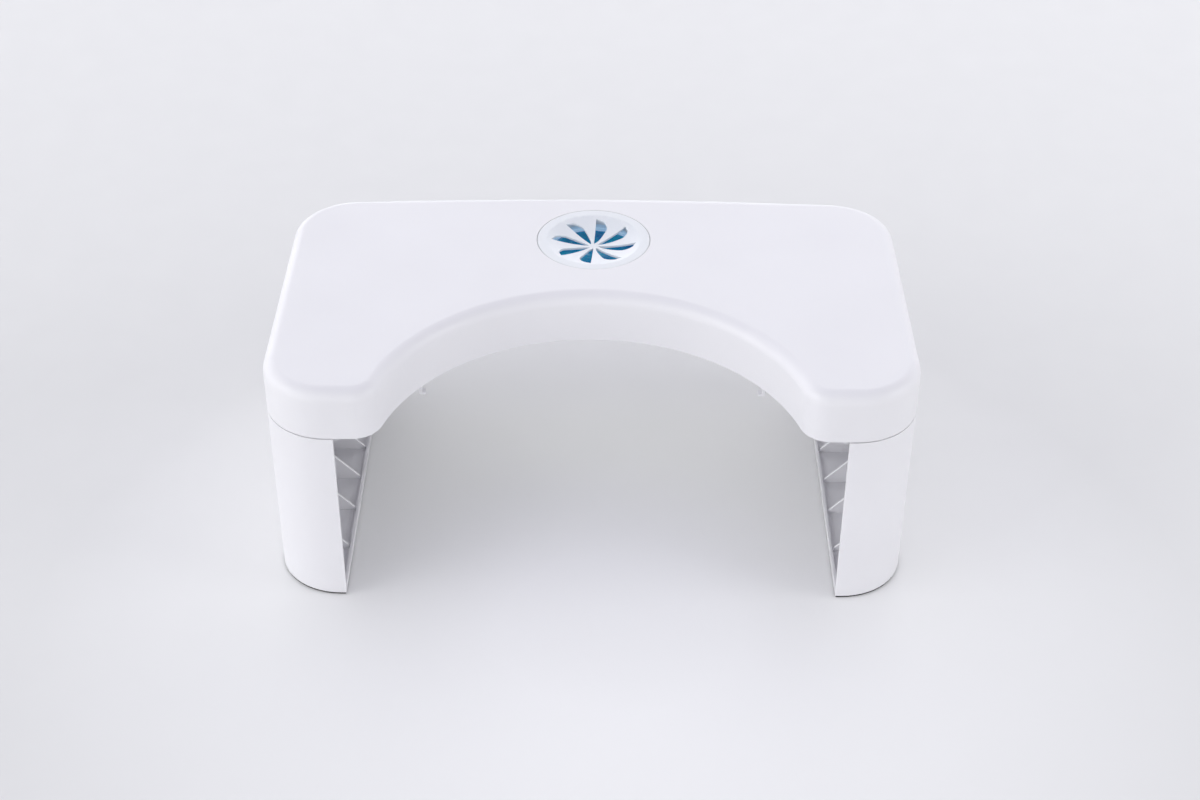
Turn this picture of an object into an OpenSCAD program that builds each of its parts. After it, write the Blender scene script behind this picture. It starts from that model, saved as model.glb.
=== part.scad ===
// Folding step stool for a toilet, with a scent box in its top.
// Two hollow legs fold inward under an arched top, each on two short pins.
// Frame: +X to the stool's right, -Y to its front, +Z up. The origin is on the
// floor, under the middle of the stool's bounding box.

/* [Overall size] */
// Width across both legs
stool_w = 430; // [422:1:440]
// Depth from the straight front edge to the middle of the bowed rear edge
stool_d = 252; // [248:1:260]
// Height of the top surface above the floor
stool_h = 169.5; // [166:0.5:176]
// Plan radius of the four outer corners
corner_r = 44; // [42:1:45]
// Plan radius of the gently bowed rear edge
rear_bow_r = 2600; // [2200:100:4000]
// Radius of the rounded top edge
edge_r = 9; // [8.5:0.5:10]

/* [Arch cut-out] */
// Radius of the arch that goes round the toilet's foot
arch_r = 142; // [138:1:144]
// Distance of the arch's centre ahead of the front edge
arch_ahead = 26; // [24:1:30]
// Radius of the turns from the front edge into the arch
lead_r = 20; // [18:1:22]

/* [Top shell] */
// Height of the skirt round the top
skirt_h = 36.5; // [36:0.5:38]
// Thickness of the skirt
wall = 2.6; // [2.4:0.1:3]
// Thickness of the top plate
plate_t = 3; // [2.8:0.1:3.4]
// Depth of the stiffening ribs under the plate
rib_depth = 15; // [10:1:15]
// Thickness of ribs and gussets
rib_t = 1.8; // [1.6:0.1:2.2]
// Spacing of the stiffening ribs
rib_pitch = 38; // [36:1:42]

/* [Legs] */
// Width of each leg, from its outer face to its open side
leg_w = 48; // [47:0.5:49]
// Gap between the top of a leg and the skirt
leg_seam = 0.8; // [0.8:0.1:1.5]
// Distance from the middle gusset to the second and fourth gussets
inner_gusset = 36; // [34:1:38]
// Distance from the middle gusset to the first and last gussets
outer_gusset = 78; // [74:1:80]
// Height of the lip along the foot plate's open side
foot_lip = 3; // [2:0.5:4]

/* [Foot pads] */
// Thickness of the rubber sole under the legs
pad_t = 1.6; // [1.5:0.1:2]
// Length of each pad, from the leg's front or rear end
pad_l = 40; // [34:1:44]
// Distance that a pad stands in from the leg's edge
pad_inset = 0.5; // [0.4:0.1:1.2]

/* [Leg hinges] */
// Distance of the hinge axis in from the outer face
hinge_in = 46.5; // [46:0.5:47]
// Height of the hinge axis below the skirt
hinge_drop = 5; // [5:0.25:5.5]
// Distance of each hinge from the middle of the leg
hinge_reach = 103; // [98:1:104]
// Radius of the hinge pins
pin_r = 2.5; // [2.4:0.1:2.6]
// Radius of the lugs round the pins
lug_r = 5.5; // [5:0.25:5.5]
// Thickness of the top shell's hinge bracket
bracket_t = 8; // [7:0.5:9]
// Thickness of each of a leg's hinge lugs
leg_lug_t = 5; // [4:0.5:6]

/* [Scent box] */
// Distance of the box's centre behind the middle of the stool
box_y = 64; // [61:1:65]
// Radius of the lid, and of the cup's flange under it
lid_r = 40; // [39.5:0.1:40.5]
// Outer radius of the cup's body
cup_r = 36; // [35.8:0.1:36.2]
// Depth of the cup, from the top surface
cup_depth = 32; // [30:0.5:32]
// Depth of the dish in the middle of the lid
dish_depth = 5.75; // [5.25:0.25:5.75]
// Depth of the gel's surface below the top
gel_drop = 11.6; // [11:0.1:13]
// Number of vents in the lid
vent_count = 8; // [6:1:8]
// Radius of the circle through the vents' tips
vent_tip_r = 30.3; // [29.3:0.1:30.4]
// Greatest width of a vent
vent_w = 8.4; // [6.4:0.5:8.4]

/* [Hidden] */

$fn = 96;
weld = 0.2;            // how far joined shapes of one piece reach into each other
pin_clearance = 0.05;  // radial clearance of a pin in the top shell's bracket
hinge_gap = 0.4;       // side gap between a bracket and the leg's lugs

white = [0.93, 0.93, 0.95];
cool_white = [0.90, 0.92, 0.96];
rubber_grey = [0.13, 0.13, 0.14];
steel = [0.72, 0.73, 0.75];
gel_blue = [0.10, 0.42, 0.68];

// Plan of the top
front_y = -stool_d / 2;
rear_y = stool_d / 2;
corner_x = stool_w / 2 - corner_r;
corner_front_y = front_y + corner_r;
bow_y = rear_y - rear_bow_r;
corner_rear_y = bow_y + sqrt(pow(rear_bow_r - corner_r, 2) - pow(corner_x, 2));
bow_angle = atan2(corner_rear_y - bow_y, corner_x);
arch_y = front_y - arch_ahead;
lead_y = front_y + lead_r;
lead_x = sqrt(pow(arch_r + lead_r, 2) - pow(lead_r + arch_ahead, 2));
lead_angle = atan2(lead_r + arch_ahead, lead_x);
corner_steps = 14;
lead_steps = 10;
arch_steps = 40;
bow_steps = 16;
edge_steps = 7;

// Heights
skirt_z = stool_h - skirt_h;
plate_z = stool_h - plate_t;
rib_z = plate_z - rib_depth;
leg_top = skirt_z - leg_seam;
hinge_x = stool_w / 2 - hinge_in;
hinge_z = skirt_z - hinge_drop;

// Legs
leg_in_x = stool_w / 2 - leg_w;
leg_wall_x = stool_w / 2 - wall;
leg_rear_y = bow_y + sqrt(pow(rear_bow_r, 2) - pow(leg_in_x, 2));
leg_mid_y = (front_y + leg_rear_y) / 2;
foot_z = pad_t + wall;
gusset_places = [-outer_gusset, -inner_gusset, 0, inner_gusset, outer_gusset];
hinge_places = [leg_mid_y - hinge_reach, leg_mid_y + hinge_reach];
lug_inner = bracket_t / 2 + hinge_gap;
pin_l = 2 * (lug_inner + leg_lug_t);
stud_r = 2.5;
stud_places = [leg_in_x + 12, leg_in_x + 34];
stud_set_back = 26;

// Scent box
flange_z = stool_h - 4;
flange_top = stool_h - 2.1;
flange_gap = 0.4;
collar_wall = 3;
collar_r = lid_r + collar_wall;
collar_depth = 18;
cup_wall = 1.6;
cup_in_r = cup_r - cup_wall;
lid_t = 1.6;
lid_top = stool_h - 0.1;
dish_r = 34.2;
dish_steps = 12;
tray_gap = 0.3;
tray_wall = 0.7;
cup_floor_z = stool_h - cup_depth + cup_wall;
gel_z = stool_h - gel_drop;
vent_root_r = 3;
vent_peak = 0.63;      // where a vent is widest, as a share of its length
vent_steps = 14;
vent_turn = -3.4;      // angle of the first vent's straight edge
catch_count = 3;
catch_r = 32;          // outer radius of the lid's turning ring
catch_z = stool_h - 6;
catch_t = 1.5;
catch_sweep = 24;

// Small hooks behind the arch wall
hook_x = 115;
hook_y = -63.2;
hook_drop = 7.5;

function arc(centre, r, from, to, steps) =
    [for (i = [0:steps]) let (a = from + (to - from) * i / steps) centre + r * [cos(a), sin(a)]];

// The same arc without its two ends, where its neighbours already have them
function arc_between(centre, r, from, to, steps) =
    [for (i = [1:steps - 1]) let (a = from + (to - from) * i / steps) centre + r * [cos(a), sin(a)]];

// Outline of the top, set in by d all round
function top_outline(d) = concat(
    arc([lead_x, lead_y], lead_r - d, 180 + lead_angle, 270, lead_steps),
    arc([corner_x, corner_front_y], corner_r - d, -90, 0, corner_steps),
    arc([corner_x, corner_rear_y], corner_r - d, 0, bow_angle, corner_steps),
    arc_between([0, bow_y], rear_bow_r - d, bow_angle, 180 - bow_angle, bow_steps),
    arc([-corner_x, corner_rear_y], corner_r - d, 180 - bow_angle, 180, corner_steps),
    arc([-corner_x, corner_front_y], corner_r - d, 180, 270, corner_steps),
    arc([-lead_x, lead_y], lead_r - d, -90, -lead_angle, lead_steps),
    arc_between([0, arch_y], arch_r + d, 180 - lead_angle, lead_angle, arch_steps));

// Outline of the right leg, set in by d, and open or closed at x = open_x
function leg_outline(d, open_x) = concat(
    [[open_x, front_y + d]],
    arc([corner_x, corner_front_y], corner_r - d, -90, 0, corner_steps),
    arc([corner_x, corner_rear_y], corner_r - d, 0, bow_angle, corner_steps),
    [[open_x, bow_y + sqrt(pow(rear_bow_r - d, 2) - pow(open_x, 2))]]);

// Rings of the rim as [set-in, height], from the underside of the plate, down
// the inside, round the skirt's edge and up the outside to the top
inner_edge_r = edge_r - wall;
rim_rings = concat(
    [for (i = [edge_steps:-1:0]) let (a = 90 * i / edge_steps)
        [wall + inner_edge_r * (1 - cos(a)), plate_z - inner_edge_r * (1 - sin(a))]],
    [[wall, skirt_z], [0, skirt_z]],
    [for (i = [0:edge_steps]) let (a = 90 * i / edge_steps)
        [edge_r * (1 - cos(a)), stool_h - edge_r * (1 - sin(a))]]);

// The skirt and the rounded edge: a closed band whose cut side meets the plate
module shell_rim() {
    n = len(top_outline(0));
    m = len(rim_rings);
    points = [for (ring = rim_rings) for (p = top_outline(ring[0])) [p.x, p.y, ring[1]]];
    polyhedron(points, [for (k = [0:m - 1]) for (i = [0:n - 1])
        let (j = (i + 1) % n, next = (k + 1) % m)
        [next * n + i, next * n + j, k * n + j, k * n + i]]);
}

module shell_plate() {
    translate([0, 0, plate_z]) linear_extrude(plate_t) polygon(top_outline(edge_r));
}

// A flat shape drawn in X and Z, with thickness t centred on y
module upright_plate(y, t) {
    translate([0, y + t / 2, 0]) rotate([90, 0, 0]) linear_extrude(t) children();
}

module both_sides() {
    children();
    mirror([1, 0, 0]) children();
}

// The stiffening grid, kept clear of the rounded outer edge
module rib_grid() {
    grid_h = plate_z + weld - rib_z;
    intersection() {
        translate([0, 0, rib_z]) linear_extrude(grid_h) polygon(top_outline(wall - weld / 2));
        union() {
            for (x = [-5 * rib_pitch:rib_pitch:5 * rib_pitch])
                translate([x - rib_t / 2, -stool_d, rib_z]) cube([rib_t, 2 * stool_d, grid_h]);
            for (y = [-2.5 * rib_pitch:rib_pitch:2.5 * rib_pitch])
                translate([-stool_w, y - rib_t / 2, rib_z]) cube([2 * stool_w, rib_t, grid_h]);
        }
    }
}

// A bracket that hangs from the plate and carries one hinge pin
module hinge_bracket(y) {
    brace = 26;
    upright_plate(y, bracket_t) difference() {
        union() {
            translate([hinge_x, hinge_z]) circle(lug_r);
            polygon([[hinge_x - lug_r, hinge_z], [hinge_x + lug_r, hinge_z],
                     [hinge_x + lug_r, plate_z + weld], [hinge_x - brace, plate_z + weld],
                     [hinge_x - brace, plate_z - 7], [hinge_x - lug_r, hinge_z + 14]]);
        }
        translate([hinge_x, hinge_z]) circle(pin_r + pin_clearance);
    }
}

// A rib on the skirt that the top of the leg bears on under load
module seat_rib(y) {
    bearing_gap = 0.4;
    reach = 10;
    upright_plate(y, rib_t) translate([leg_wall_x - reach, leg_top + bearing_gap])
        square([reach + weld, plate_z - 8 - leg_top]);
}

// A small hook that hangs below the arch wall, its toe towards the middle
module arch_hook() {
    stem_w = 2;
    stem_d = 5;
    toe = 2.4;
    bottom = skirt_z - hook_drop;
    translate([hook_x - stem_w / 2, hook_y - stem_d / 2, bottom]) cube([stem_w, stem_d, 30]);
    translate([hook_x - stem_w / 2 - toe, hook_y - stem_d / 2, bottom]) cube([toe + weld, stem_d, 1.8]);
}

module top_shell() {
    color(white) difference() {
        union() {
            shell_rim();
            shell_plate();
            rib_grid();
            translate([0, box_y, plate_z - collar_depth]) cylinder(r = collar_r, h = collar_depth + weld);
            both_sides() {
                for (y = hinge_places) hinge_bracket(y);
                for (y = [-55, 0, 55]) seat_rib(leg_mid_y + y);
                arch_hook();
            }
        }
        translate([0, box_y, plate_z - collar_depth - 1]) cylinder(r = cup_r + flange_gap, h = stool_h);
        translate([0, box_y, flange_z]) cylinder(r = lid_r + flange_gap, h = stool_h);
    }
}

// A triangle from the foot plate's open side up to the outer wall
module foot_gusset(y) {
    rise = leg_wall_x - leg_in_x;
    upright_plate(y, rib_t) polygon([[leg_in_x + 1, foot_z - weld], [leg_wall_x + weld, foot_z - weld],
                                     [leg_wall_x + weld, foot_z + rise], [leg_in_x + 1, foot_z + weld]]);
}

// One of a leg's lugs, with the web that ties it to the outer wall
module leg_lug(y) {
    web_drop = 25;
    upright_plate(y, leg_lug_t) difference() {
        union() {
            translate([hinge_x, hinge_z]) circle(lug_r);
            polygon([[hinge_x, leg_top - weld], [leg_wall_x + weld, leg_top - weld],
                     [leg_wall_x + weld, hinge_z - web_drop], [hinge_x + 3, hinge_z - lug_r + 1.1]]);
        }
        translate([hinge_x, hinge_z]) circle(pin_r);
    }
}

module right_leg_shape() {
    notch_x = hinge_x + lug_r + 2;
    stud_ys = [front_y + stud_set_back, leg_rear_y - stud_set_back];
    difference() {
        translate([0, 0, pad_t]) linear_extrude(leg_top - pad_t) polygon(leg_outline(0, leg_in_x));
        translate([0, 0, foot_z]) linear_extrude(leg_top - wall - foot_z)
            polygon(leg_outline(wall, leg_in_x - 5));
        for (y = hinge_places)
            translate([leg_in_x - 1, y - lug_inner, leg_top - 2 * wall])
                cube([notch_x - leg_in_x + 1, 2 * lug_inner, 3 * wall]);
        for (x = stud_places, y = stud_ys)
            translate([x, y, 0]) cylinder(r = stud_r, h = 2 * foot_z);
    }
    translate([leg_in_x, front_y + wall - weld, foot_z - weld])
        cube([rib_t, leg_rear_y - front_y - 2 * wall + 2 * weld, foot_lip + weld]);
    intersection() {
        union() {
            for (y = gusset_places) foot_gusset(leg_mid_y + y);
            for (y = hinge_places, side = [-1, 1]) leg_lug(y + side * (lug_inner + leg_lug_t / 2));
        }
        linear_extrude(stool_h) polygon(leg_outline(wall / 2, hinge_x - 2 * lug_r));
    }
}

module right_leg() {
    color(white) right_leg_shape();
}

module left_leg() {
    color(white) mirror([1, 0, 0]) right_leg_shape();
}

module hinge_pin(side, y) {
    end = 0.4;
    color(steel) translate([side * hinge_x, y + pin_l / 2, hinge_z]) rotate([90, 0, 0])
        rotate_extrude() polygon([[0, 0], [pin_r - end, 0], [pin_r, end], [pin_r, pin_l - end],
                                  [pin_r - end, pin_l], [0, pin_l]]);
}

module left_front_pin() { hinge_pin(-1, hinge_places[0]); }
module left_rear_pin() { hinge_pin(-1, hinge_places[1]); }
module right_front_pin() { hinge_pin(1, hinge_places[0]); }
module right_rear_pin() { hinge_pin(1, hinge_places[1]); }

// A rubber sole under one end of the right leg, with two studs through the foot plate
module right_pad_shape(y_from, y_stud) {
    stud_top = foot_z + 1;
    linear_extrude(pad_t) intersection() {
        polygon(leg_outline(pad_inset, leg_in_x + pad_inset));
        translate([0, y_from]) square([stool_w, pad_l]);
    }
    for (x = stud_places)
        translate([x, y_stud, pad_t - weld]) cylinder(r = stud_r, h = stud_top - pad_t + weld);
}

module front_pad_shape() {
    right_pad_shape(front_y, front_y + stud_set_back);
}

module rear_pad_shape() {
    right_pad_shape(leg_rear_y - pad_l, leg_rear_y - stud_set_back);
}

module right_front_pad() { color(rubber_grey) front_pad_shape(); }
module right_rear_pad() { color(rubber_grey) rear_pad_shape(); }
module left_front_pad() { color(rubber_grey) mirror([1, 0, 0]) front_pad_shape(); }
module left_rear_pad() { color(rubber_grey) mirror([1, 0, 0]) rear_pad_shape(); }

// A block of a ring round the scent box's axis, centred on angle a
module ring_block(a, sweep, r_in, r_out, z, h) {
    rotate([0, 0, a - sweep / 2]) rotate_extrude(angle = sweep)
        translate([r_in, z]) square([r_out - r_in, h]);
}

// The cup has three catches that hold the lid down, each with a stop beside it
module scent_cup() {
    bottom = stool_h - cup_depth;
    lug_z = catch_z + catch_t + 0.4;
    lug_in_r = catch_r + 0.4;
    stop_sweep = 4;
    stop_from = catch_sweep / 2 + 0.5;
    color(cool_white) translate([0, box_y, 0]) {
        rotate_extrude() polygon([
            [0, bottom], [cup_r - 1.5, bottom], [cup_r, bottom + 1.5], [cup_r, flange_z],
            [lid_r, flange_z], [lid_r, flange_top], [cup_in_r, flange_top],
            [cup_in_r, cup_floor_z], [0, cup_floor_z]]);
        for (k = [0:catch_count - 1]) {
            turn = k * 360 / catch_count;
            ring_block(turn, catch_sweep + 2, lug_in_r, cup_in_r + weld, lug_z, catch_t);
            ring_block(turn - stop_from - stop_sweep / 2, stop_sweep,
                       lug_in_r + weld, cup_in_r + 2 * weld, catch_z, 2 * catch_t);
        }
    }
}

module scent_tray() {
    tray_r = cup_in_r - tray_gap;
    color(cool_white) translate([0, box_y, 0]) rotate_extrude() polygon([
        [0, cup_floor_z], [tray_r, cup_floor_z], [tray_r, gel_z + 0.6], [tray_r - tray_wall, gel_z + 0.6],
        [tray_r - tray_wall, cup_floor_z + tray_wall], [0, cup_floor_z + tray_wall]]);
}

module scent_gel() {
    gel_r = cup_in_r - tray_gap - tray_wall;
    gel_bottom = cup_floor_z + tray_wall;
    color(gel_blue) translate([0, box_y, gel_bottom]) cylinder(r = gel_r, h = gel_z - gel_bottom);
}

// Height of the lid's dished face at radius r
function dish_z(r) = lid_top - dish_depth * (1 - pow(r / dish_r, 2));

// Width of a vent at share s of its length: one edge is straight and the other bulges
function vent_width(s) = s < vent_peak
    ? vent_w * pow(s / vent_peak, 0.65)
    : vent_w * sqrt(max(0, 1 - pow((s - vent_peak) / (1 - vent_peak), 2)));

module lid_vent() {
    polygon([for (i = [0:vent_steps]) let (s = i / vent_steps)
        [vent_root_r + s * (vent_tip_r - vent_root_r), -vent_width(s)]]);
}

module scent_lid() {
    ring_in_r = catch_r - 1.4;
    face = [for (i = [0:dish_steps]) let (r = dish_r * i / dish_steps) [r, dish_z(r)]];
    back = [for (i = [dish_steps:-1:0]) let (r = dish_r * i / dish_steps) [r, dish_z(r) - lid_t]];
    color(cool_white) translate([0, box_y, 0]) {
        difference() {
            rotate_extrude() polygon(concat(face,
                [[lid_r, lid_top], [lid_r, lid_top - lid_t]], back));
            for (k = [0:vent_count - 1])
                rotate([0, 0, vent_turn + k * 360 / vent_count])
                    translate([0, 0, stool_h - 20]) linear_extrude(40) lid_vent();
        }
        rotate_extrude() translate([ring_in_r, catch_z]) square([catch_r - ring_in_r, 3.8]);
        for (k = [0:catch_count - 1])
            ring_block(k * 360 / catch_count, catch_sweep, catch_r - weld, cup_in_r - 0.4, catch_z, catch_t);
    }
}

top_shell();
left_leg();
right_leg();
left_front_pin();
left_rear_pin();
right_front_pin();
right_rear_pin();
left_front_pad();
left_rear_pad();
right_front_pad();
right_rear_pad();
scent_cup();
scent_tray();
scent_gel();
scent_lid();
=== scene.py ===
"""Looks of the folding step stool: finishes, rounded edges, gel, floor, light and camera."""

import math
import random

import bpy
from mathutils import Matrix, Vector, noise


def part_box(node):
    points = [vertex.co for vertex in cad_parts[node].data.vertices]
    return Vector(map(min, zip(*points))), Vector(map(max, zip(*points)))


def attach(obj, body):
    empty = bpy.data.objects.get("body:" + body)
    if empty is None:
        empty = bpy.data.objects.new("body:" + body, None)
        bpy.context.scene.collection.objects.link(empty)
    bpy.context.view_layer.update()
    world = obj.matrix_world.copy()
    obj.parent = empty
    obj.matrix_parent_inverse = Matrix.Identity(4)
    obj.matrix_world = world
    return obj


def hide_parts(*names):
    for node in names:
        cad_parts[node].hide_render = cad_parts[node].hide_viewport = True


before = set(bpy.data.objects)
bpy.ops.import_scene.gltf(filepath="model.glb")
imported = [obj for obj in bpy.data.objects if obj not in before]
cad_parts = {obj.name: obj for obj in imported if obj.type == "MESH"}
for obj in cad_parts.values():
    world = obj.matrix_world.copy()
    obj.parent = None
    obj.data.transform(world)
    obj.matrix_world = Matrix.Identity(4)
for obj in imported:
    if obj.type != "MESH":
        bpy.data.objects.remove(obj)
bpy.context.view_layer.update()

MM = 0.001
scene = bpy.context.scene

# Brightness of the room's white walls
SIDE_WALLS = (1.9, 0.8)              # left, right
FRONT_AND_BACK_WALLS = (1.6, 2.6)    # in front of the stool, behind it
WALL_TINT = (0.98, 0.985, 1.0)
SKY_TINT = (0.6, 0.58, 1.0)
PAINTED_RIM_GLOW = (0.095, 0.14, 0.185)  # painted glow (emission, no lamp) on the scent box's inner walls near its rim

# The floor's paper, with painted light: a painted pool of light under the front of the stool and
# painted brightening far back
FLOOR_REACH = 4.0
PAINTED_POOL_MIDDLE = (0.02, -0.16, 0.0)
FLOOR_PAINTED_POOL = (0.92, 0.92, 0.925)
FLOOR_GREY = (0.69, 0.69, 0.693)
FLOOR_PAINTED_FAR_LIGHT = (0.79, 0.79, 0.80)

# The viewpoint
LENS_MM = 59.36
CAMERA_PLACE = (0.00675, -1.1446, 0.902)
CAMERA_DOWN, CAMERA_TURN, CAMERA_ROLL = 35.87, 0.07, 0.356

# The gel
BUBBLES = 46
GEL_RINGS = 56
GEL_STEPS = 144
GEL_WALL_ROWS = 3


# ---------------------------------------------------------------- node helpers

class Nodes:
    """Shorthand for building one node tree."""

    def __init__(self, tree):
        self.tree = tree

    def node(self, kind, **values):
        made = self.tree.nodes.new(kind)
        for key, value in values.items():
            setattr(made, key, value)
        return made

    def link(self, output, socket):
        self.tree.links.new(output, socket)

    def span(self, value, low, high, from_low=0.3, from_high=0.7):
        """Maps value from its own range to low..high, and holds it there."""
        made = self.node("ShaderNodeMapRange")
        for socket, number in zip(made.inputs[1:5], (from_low, from_high, low, high)):
            socket.default_value = number
        self.link(value, made.inputs["Value"])
        return made.outputs["Result"]

    def math(self, operation, first, second):
        made = self.node("ShaderNodeMath", operation=operation)
        self.link(first, made.inputs[0])
        self.link(second, made.inputs[1])
        return made.outputs["Value"]

    def split(self, vector):
        """The X, Y and Z outputs of a vector."""
        made = self.node("ShaderNodeSeparateXYZ")
        self.link(vector, made.inputs["Vector"])
        return made.outputs


class Shader(Nodes):
    """A material under construction: one Principled surface and the nodes that feed it."""

    def __init__(self, name):
        self.material = bpy.data.materials.new(name)
        self.material.use_nodes = True
        super().__init__(self.material.node_tree)
        self.surface = self.tree.nodes["Principled BSDF"]
        self.place = self.node("ShaderNodeTexCoord").outputs["Object"]

    def set(self, **values):
        for key, value in values.items():
            self.surface.inputs[key.replace("_", " ")].default_value = value

    def feed(self, socket, output):
        self.link(output, self.surface.inputs[socket])

    def noise(self, size, detail=3.0, roughness=0.5, stretch=None):
        """Noise with features about size metres across; stretch squeezes it along the axes."""
        made = self.node("ShaderNodeTexNoise")
        made.inputs["Scale"].default_value = 1.0 / size
        made.inputs["Detail"].default_value = detail
        made.inputs["Roughness"].default_value = roughness
        where = self.place
        if stretch:
            mapping = self.node("ShaderNodeMapping")
            mapping.inputs["Scale"].default_value = stretch
            self.link(self.place, mapping.inputs["Vector"])
            where = mapping.outputs["Vector"]
        self.link(where, made.inputs["Vector"])
        return made.outputs["Fac"]

    def distance(self, vector, point):
        made = self.node("ShaderNodeVectorMath", operation="DISTANCE")
        made.inputs[1].default_value = point
        self.link(vector, made.inputs[0])
        return made.outputs["Value"]

    def blend(self, factor, first, second):
        """Mixes two colours, each a tuple or another node's output."""
        made = self.node("ShaderNodeMix", data_type="RGBA")
        for name, colour in (("A", first), ("B", second)):
            if isinstance(colour, tuple):
                made.inputs[name].default_value = (*colour, 1)
            else:
                self.link(colour, made.inputs[name])
        self.link(factor, made.inputs["Factor"])
        return made.outputs["Result"]

    def bump(self, heights):
        """Chains (height, distance in metres, strength) rows into one normal."""
        normal = None
        for height, distance, strength in heights:
            made = self.node("ShaderNodeBump")
            made.inputs["Distance"].default_value = distance
            made.inputs["Strength"].default_value = strength
            self.link(height, made.inputs["Height"])
            if normal is not None:
                self.link(normal, made.inputs["Normal"])
            normal = made.outputs["Normal"]
        self.feed("Normal", normal)


# ------------------------------------------------------------------- materials

def moulded_plastic(name, colour, roughness, fade=0.02, grain=0.35, glow=0.3, depth=3.0):
    """Satin moulded plastic: spark-eroded grain, faint flow marks and light scuffs. The colour
    drifts down by fade, and the thin walls let some light through, to about depth millimetres."""
    s = Shader(name)
    flow = s.noise(0.09, detail=2.0)
    shade = tuple(c - fade for c in colour)
    s.feed("Base Color", s.blend(s.span(flow, 0.0, 1.0), colour, shade))
    scuffs = s.noise(0.012, detail=6.0, roughness=0.65, stretch=(1.0, 4.0, 1.0))
    s.feed("Roughness", s.span(scuffs, roughness - 0.05, roughness + 0.07))
    s.bump([
        (s.noise(0.06, detail=1.0), 0.0006, 0.25),
        (s.noise(0.0007, detail=2.0), 0.00002, grain),
    ])
    s.set(IOR=1.49, Subsurface_Weight=glow, Subsurface_Radius=(1.0, 1.0, 1.0))
    s.set(Subsurface_Scale=depth * MM)
    return s


def paint_glow_inside(plastic):
    """Paints a glow on the scent box's inner walls near the rim: emission, no lamp, standing in for
    the light that the translucent rim carries down. It keeps the glow off the outside of the cup,
    which shows when the box is lifted."""
    low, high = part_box("scent_tray")
    axis = ((low[0] + high[0]) / 2, (low[1] + high[1]) / 2, 0)
    cup_r = (high[0] - low[0]) / 2 + 0.5 * MM
    flat = plastic.node("ShaderNodeVectorMath", operation="MULTIPLY")
    flat.inputs[1].default_value = (1, 1, 0)
    plastic.link(plastic.place, flat.inputs[0])
    off_axis = plastic.distance(flat.outputs["Vector"], axis)
    inside = plastic.span(off_axis, 1.0, 0.0, cup_r, cup_r + 0.2 * MM)
    height = plastic.split(plastic.place)["Z"]
    near_rim = plastic.span(height, 0.0, 1.0, high[2] - 10 * MM, high[2] - 4 * MM)
    # painted glow: emission on the inner walls within the top 10 mm below the rim
    plastic.feed("Emission Strength", plastic.math("MULTIPLY", inside, near_rim))
    plastic.set(Emission_Color=(*PAINTED_RIM_GLOW, 1))
    return plastic


def rubber(name, colour):
    """Dull rubber with a little dust on it."""
    s = Shader(name)
    dust = s.noise(0.006, detail=5.0, roughness=0.7)
    lighter = tuple(c + 0.05 for c in colour)
    s.feed("Base Color", s.blend(s.span(dust, 0.0, 1.0, 0.45, 0.75), colour, lighter))
    s.feed("Roughness", s.span(dust, 0.62, 0.85))
    s.bump([(s.noise(0.0009, detail=3.0), 0.00008, 0.5)])
    return s.material


def steel(name):
    """Drawn steel, with fine lines along Y."""
    s = Shader(name)
    drawn = s.noise(0.0015, detail=4.0, stretch=(1.0, 0.05, 1.0))
    s.feed("Base Color", s.blend(s.span(drawn, 0.0, 1.0), (0.56, 0.57, 0.58), (0.72, 0.73, 0.74)))
    s.feed("Roughness", s.span(drawn, 0.22, 0.4))
    s.bump([(drawn, 0.00002, 0.4)])
    s.set(Metallic=1.0)
    return s.material


def gel_material(name):
    """Wet, slightly clouded blue gel."""
    s = Shader(name)
    cloud = s.noise(0.011, detail=4.0, roughness=0.6)
    clouding = s.span(cloud, 0.0, 1.0, 0.32, 0.68)
    s.feed("Base Color", s.blend(clouding, (0.008, 0.22, 0.52), (0.02, 0.52, 0.75)))
    s.feed("Roughness", s.span(cloud, 0.06, 0.16))
    s.bump([(s.noise(0.004, detail=3.0), 0.0008, 0.5)])
    s.set(IOR=1.36, Coat_Weight=0.25, Coat_Roughness=0.04)
    s.set(Subsurface_Weight=0.5, Subsurface_Radius=(0.2, 0.7, 1.0), Subsurface_Scale=4 * MM)
    return s.material


def floor_material(name):
    """White paper with painted light: a painted pool of light under the front of the stool, the plain
    grey paper round it, and painted brightening far back.
    """
    s = Shader(name)
    away = s.span(s.distance(s.place, PAINTED_POOL_MIDDLE), 0.0, 1.0, 0.08, 0.4)
    back = s.span(s.split(s.place)["Y"], 0.0, 1.0, 0.1, 0.9)
    # painted light: a painted pool of light near the stool's front and painted brightening towards
    # the back, over plain grey paper
    s.feed("Base Color", s.blend(back, s.blend(away, FLOOR_PAINTED_POOL, FLOOR_GREY), FLOOR_PAINTED_FAR_LIGHT))
    s.feed("Roughness", s.span(s.noise(0.03), 0.5, 0.6))
    s.bump([(s.noise(0.0012), 0.00005, 0.3)])
    return s.material


shell_white = moulded_plastic("shell_white", (0.735, 0.73, 0.758), 0.38).material
lid_white = moulded_plastic("box_white", (0.71, 0.73, 0.765), 0.36, fade=0.015, grain=0.15).material
cup_plastic = moulded_plastic("cup_white", (0.63, 0.71, 0.79), 0.3, grain=0.1, glow=0.4)
tray_plastic = moulded_plastic("tray_white", (0.70, 0.79, 0.88), 0.35, grain=0.1, glow=0.7, depth=4.0)
gel_blue = gel_material("gel_blue")

# Material, and width in millimetres that sharp edges are rounded by
NODE_LOOKS = {
    "top_shell": (shell_white, 0.5),
    "left_leg": (shell_white, 0.45),
    "right_leg": (shell_white, 0.45),
    "scent_cup": (paint_glow_inside(cup_plastic).material, 0.2),
    "scent_lid": (lid_white, 0.25),
    "scent_tray": (paint_glow_inside(tray_plastic).material, 0.2),
    "scent_gel": (gel_blue, 0.5),
    "pin": (steel("pin_steel"), 0.25),
    "pad": (rubber("pad_rubber", (0.018, 0.018, 0.02)), 0.3),
}


def look_of(node):
    """A node's own look, or the look that all nodes with its last word share."""
    return NODE_LOOKS.get(node) or NODE_LOOKS[node.rsplit("_", 1)[1]]


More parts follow.
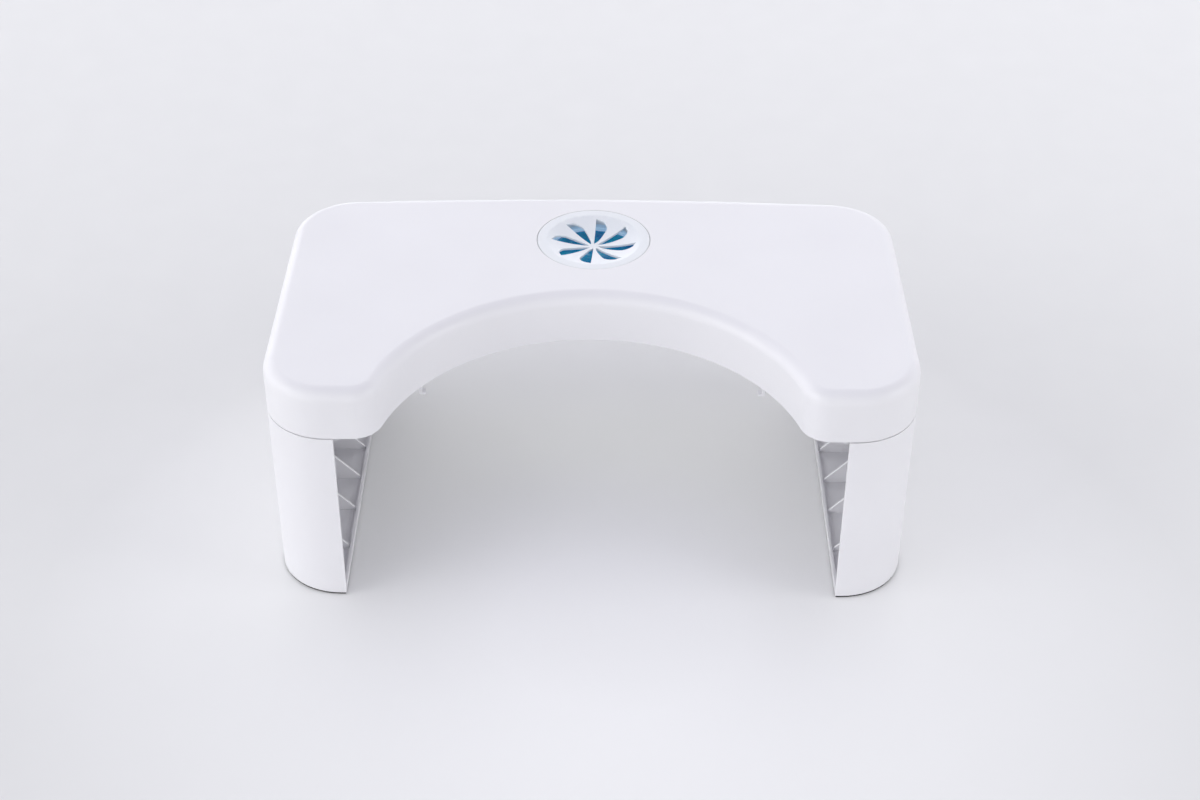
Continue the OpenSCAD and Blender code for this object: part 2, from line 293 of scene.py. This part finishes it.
def soften_edges(node, material, width_mm):
    """Gives a CAD node its finish, and rounds its sharp edges with modifiers; its own mesh stays."""
    node.data.materials.clear()
    node.data.materials.append(material)
    for face in node.data.polygons:
        face.use_smooth = True
    weld = node.modifiers.new("weld", "WELD")
    weld.merge_threshold = 0.01 * MM
    flat = node.modifiers.new("flat", "DECIMATE")
    flat.decimate_type = "DISSOLVE"
    flat.angle_limit = math.radians(0.4)
    bevel = node.modifiers.new("bevel", "BEVEL")
    bevel.width = width_mm * MM
    bevel.segments = 3
    bevel.limit_method = "ANGLE"
    bevel.angle_limit = math.radians(35)
    bevel.harden_normals = True
    shade = node.modifiers.new("shade", "WEIGHTED_NORMAL")
    shade.keep_sharp = True


for name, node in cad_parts.items():
    soften_edges(node, *look_of(name))


# --------------------------------------------------------------------- the gel

def on_disc(turn, reach):
    return Vector((reach * math.cos(turn), reach * math.sin(turn), 0))


def scatter_bubbles(radius):
    """(Place, radius) of each bubble, spread evenly over the gel."""
    chance = random.Random(7)
    bubbles = []
    for _ in range(BUBBLES):
        turn, reach = chance.uniform(0, 2 * math.pi), radius * 0.92 * math.sqrt(chance.random())
        bubbles.append((on_disc(turn, reach), chance.uniform(0.6, 1.7) * MM))
    return bubbles


def gel_depth(place, bubbles):
    """Depth of the gel's surface below its highest level: soft lumps, with bubbles standing up."""
    lumps = 0.5 + 0.5 * noise.noise(place * 130) + 0.18 * noise.noise(place * 420)
    depth = 1.1 * MM * lumps
    for centre, radius in bubbles:
        off = (place - centre).length / radius
        if off < 1:
            depth -= 0.55 * radius * math.sqrt(1 - off * off)
    return max(depth, 0.05 * MM)


def gel_points(low, high):
    """Rings out to the rim, then rows down the tub's wall, then the point in the middle."""
    centre = Vector(((low[0] + high[0]) / 2, (low[1] + high[1]) / 2, 0))
    radius = (high[0] - low[0]) / 2
    bubbles = scatter_bubbles(radius)
    points = []
    for ring in range(1, GEL_RINGS + 1):
        rim_drop = max(0.0, ring - GEL_RINGS + 4) * 0.25 * MM
        for step in range(GEL_STEPS):
            place = on_disc(2 * math.pi * step / GEL_STEPS, radius * ring / GEL_RINGS)
            level = high[2] - gel_depth(place, bubbles) - rim_drop
            points.append(centre + place + Vector((0, 0, level)))
    rim = points[-GEL_STEPS:]
    for row in range(1, GEL_WALL_ROWS + 1):
        for edge in rim:
            points.append(Vector((edge.x, edge.y, edge.z + (low[2] - edge.z) * row / GEL_WALL_ROWS)))
    points.append(centre + Vector((0, 0, high[2] - gel_depth(Vector((0, 0, 0)), bubbles))))
    return points


def gel_faces():
    """A fan round the middle, quads from ring to ring and down the wall, and one face below."""
    rows = GEL_RINGS + GEL_WALL_ROWS
    middle = rows * GEL_STEPS
    faces = [(middle, step, (step + 1) % GEL_STEPS) for step in range(GEL_STEPS)]
    for row in range(rows - 1):
        for step in range(GEL_STEPS):
            a = row * GEL_STEPS + step
            b = row * GEL_STEPS + (step + 1) % GEL_STEPS
            faces.append((a, a + GEL_STEPS, b + GEL_STEPS, b))
    last = (rows - 1) * GEL_STEPS
    faces.append(tuple(last + step for step in reversed(range(GEL_STEPS))))
    return faces


def make_gel():
    """The gel as it sets in its tub: lumpy, bubbled, and drawn down a little at the rim."""
    low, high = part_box("scent_gel")
    mesh = bpy.data.meshes.new("gel_body")
    mesh.from_pydata(gel_points(low, high), [], gel_faces())
    mesh.shade_smooth()
    mesh.materials.append(gel_blue)
    gel = bpy.data.objects.new("gel_body", mesh)
    scene.collection.objects.link(gel)
    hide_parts("scent_gel")
    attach(gel, "scent_box")


make_gel()


# ---------------------------------------------------- floor, lights and camera

def make_floor():
    mesh = bpy.data.meshes.new("floor")
    signs = ((-1, -1), (1, -1), (1, 1), (-1, 1))
    corners = [(x * FLOOR_REACH, y * FLOOR_REACH, 0) for x, y in signs]
    mesh.from_pydata(corners, [], [(0, 1, 2, 3)])
    floor = bpy.data.objects.new("floor", mesh)
    scene.collection.objects.link(floor)
    floor.data.materials.append(floor_material("floor_paper_painted_light"))


def soft_light(name, place, aim, size, power, colour=(1, 1, 1)):
    data = bpy.data.lights.new(name, "AREA")
    data.shape = "RECTANGLE"
    data.size, data.size_y = size
    data.energy = power
    data.color = colour
    lamp = bpy.data.objects.new(name, data)
    lamp.location = place
    lamp.rotation_euler = (Vector(aim) - Vector(place)).to_track_quat("-Z", "Y").to_euler()
    scene.collection.objects.link(lamp)


def wall_pair(room, direction, low_side, high_side):
    """Brightness of the two walls that face each other along one axis: it goes with the square of
    the direction, so it fades out between them."""
    side = room.span(direction, low_side, high_side, -0.1, 0.1)
    return room.math("MULTIPLY", room.math("MULTIPLY", side, direction), direction)


def make_light():
    """A room of white walls, brightest in front and behind, and soft boxes left, right and above."""
    world = bpy.data.worlds.new("studio")
    world.use_nodes = True
    room = Nodes(world.node_tree)
    direction = room.split(room.node("ShaderNodeTexCoord").outputs["Generated"])
    sides = wall_pair(room, direction["X"], *SIDE_WALLS)
    ends = wall_pair(room, direction["Y"], *FRONT_AND_BACK_WALLS)
    background = room.tree.nodes["Background"]
    background.inputs["Color"].default_value = (*WALL_TINT, 1)
    room.link(room.math("ADD", sides, ends), background.inputs["Strength"])
    scene.world = world
    middle = (0, 0, 0.1)
    soft_light("key_left", (-2.0, -0.9, 0.95), middle, (1.5, 1.2), 9)
    soft_light("fill_right", (2.1, -0.5, 1.0), middle, (1.2, 1.2), 13)
    soft_light("top_box", (0, 0.1, 2.2), (0, 0, 0), (2.2, 1.8), 6, SKY_TINT)


def make_camera():
    """The photograph's viewpoint: 36 degrees down onto the front, from a little right of centre."""
    data = bpy.data.cameras.new("camera")
    data.lens = LENS_MM
    data.sensor_width = 36.0
    camera = bpy.data.objects.new("camera", data)
    tilt = Matrix.Rotation(math.radians(90 - CAMERA_DOWN), 4, "X")
    turn = Matrix.Rotation(math.radians(CAMERA_TURN), 4, "Z")
    roll = Matrix.Rotation(math.radians(CAMERA_ROLL), 4, "Z")
    camera.matrix_world = Matrix.Translation(CAMERA_PLACE) @ turn @ tilt @ roll
    scene.collection.objects.link(camera)
    scene.camera = camera


make_floor()
make_light()
make_camera()
scene.view_settings.view_transform = "Standard"
